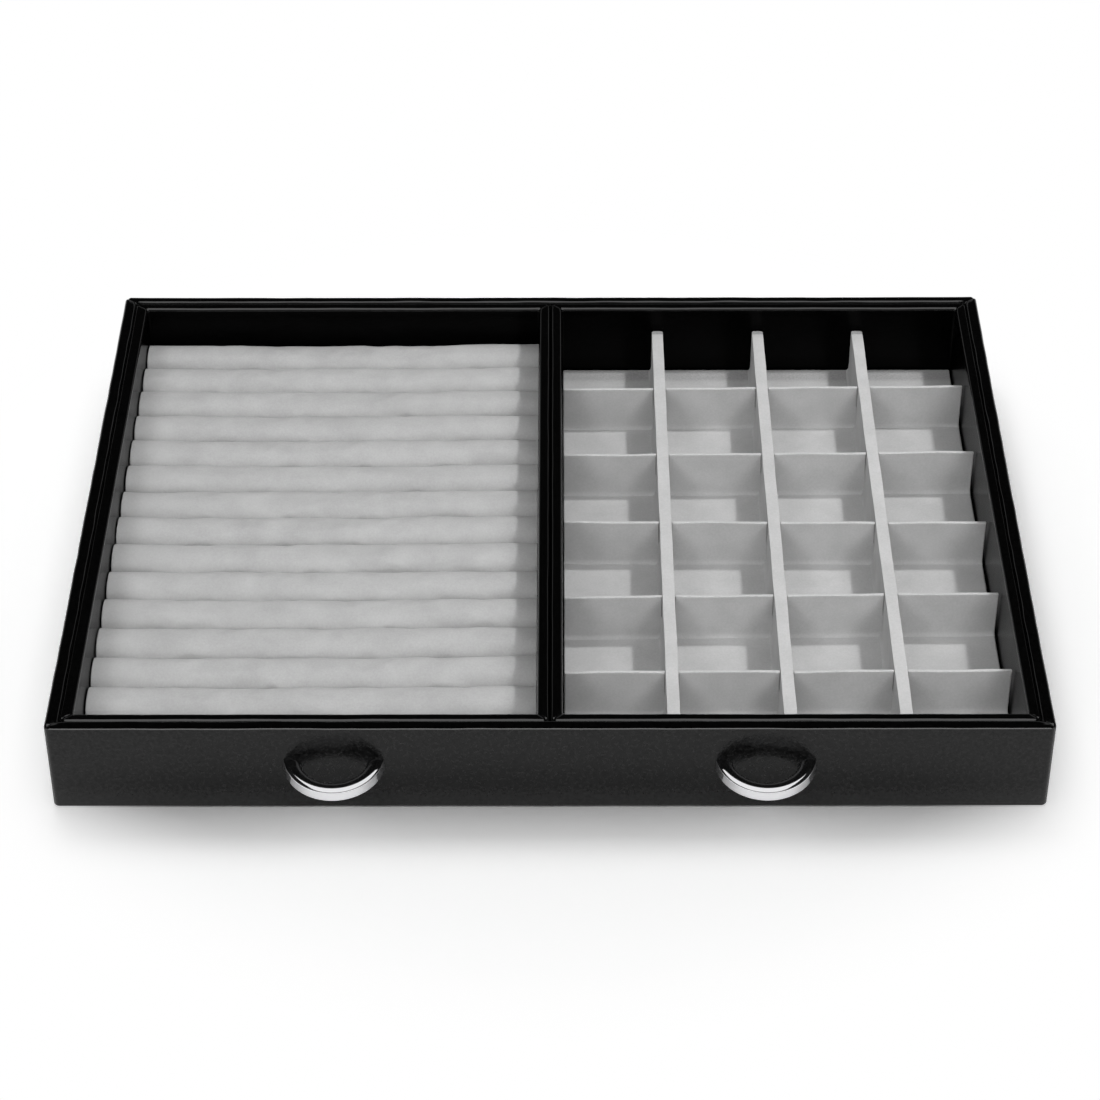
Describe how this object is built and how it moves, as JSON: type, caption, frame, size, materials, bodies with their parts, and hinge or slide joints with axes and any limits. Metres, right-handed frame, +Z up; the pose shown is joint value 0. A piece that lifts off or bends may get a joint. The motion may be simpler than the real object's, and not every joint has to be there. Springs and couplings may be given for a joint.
{
  "type": "jewellery drawer",
  "caption": "Shallow leather-covered jewellery drawer with bow pulls, a padded roll insert for cufflinks and a divided grid insert.",
  "frame": {"origin": "middle of the underside, on the surface that the drawer stands on", "axes": "+X to the right along the front wall, +Y from the front wall with its pulls to the back, +Z up"},
  "size_m": [0.4, 0.3214, 0.0428],
  "materials": {
    "black_leather": "fine grain, semi-gloss",
    "board_core": "fibreboard, hidden under the leather",
    "black_felt": "matt felt",
    "covered_board": "grey suede cloth on card",
    "suede_roll": "grey suede cloth over foam",
    "suede_divider": "grey suede cloth on card",
    "pull_chrome": "polished",
    "screw_steel": "zinc plated",
    "brad_steel": "plain"
  },
  "bodies": {
    "drawer": {"front_board": "board_core", "back_board": "board_core", "left_side_board": "board_core", "right_side_board": "board_core", "base_panel": "board_core", "base_felt": "black_felt", "corner_brads": "brad_steel", "front_leather": "black_leather", "back_leather": "black_leather", "left_side_leather": "black_leather", "right_side_leather": "black_leather", "left_liner_leather": "black_leather", "right_liner_leather": "black_leather", "left_liner_front_board": "board_core", "left_liner_back_board": "board_core", "left_liner_outer_board": "board_core", "left_liner_inner_board": "board_core", "right_liner_front_board": "board_core", "right_liner_back_board": "board_core", "right_liner_outer_board": "board_core", "right_liner_inner_board": "board_core", "left_pull": "pull_chrome", "right_pull": "pull_chrome", "left_pull_screws": "screw_steel", "right_pull_screws": "screw_steel"},
    "roll_pad": {"roll_backing_board": "covered_board", "cufflink_roll_01": "suede_roll", "cufflink_roll_02": "suede_roll", "cufflink_roll_03": "suede_roll", "cufflink_roll_04": "suede_roll", "cufflink_roll_05": "suede_roll", "cufflink_roll_06": "suede_roll", "cufflink_roll_07": "suede_roll", "cufflink_roll_08": "suede_roll", "cufflink_roll_09": "suede_roll", "cufflink_roll_10": "suede_roll", "cufflink_roll_11": "suede_roll", "cufflink_roll_12": "suede_roll", "cufflink_roll_13": "suede_roll", "cufflink_roll_14": "suede_roll", "cufflink_roll_15": "suede_roll"},
    "grid_tray": {"grid_base_board": "covered_board", "long_divider_1": "suede_divider", "long_divider_2": "suede_divider", "long_divider_3": "suede_divider", "cross_divider_1": "suede_divider", "cross_divider_2": "suede_divider", "cross_divider_3": "suede_divider", "cross_divider_4": "suede_divider", "cross_divider_5": "suede_divider"}
  },
  "joints": [
    {"name": "roll_pad_lift", "type": "slide", "parent": "drawer", "child": "roll_pad", "axis": [0, 0, 1], "range_m": [0, 0.042]},
    {"name": "grid_tray_lift", "type": "slide", "parent": "drawer", "child": "grid_tray", "axis": [0, 0, 1], "range_m": [0, 0.042]}
  ]
}
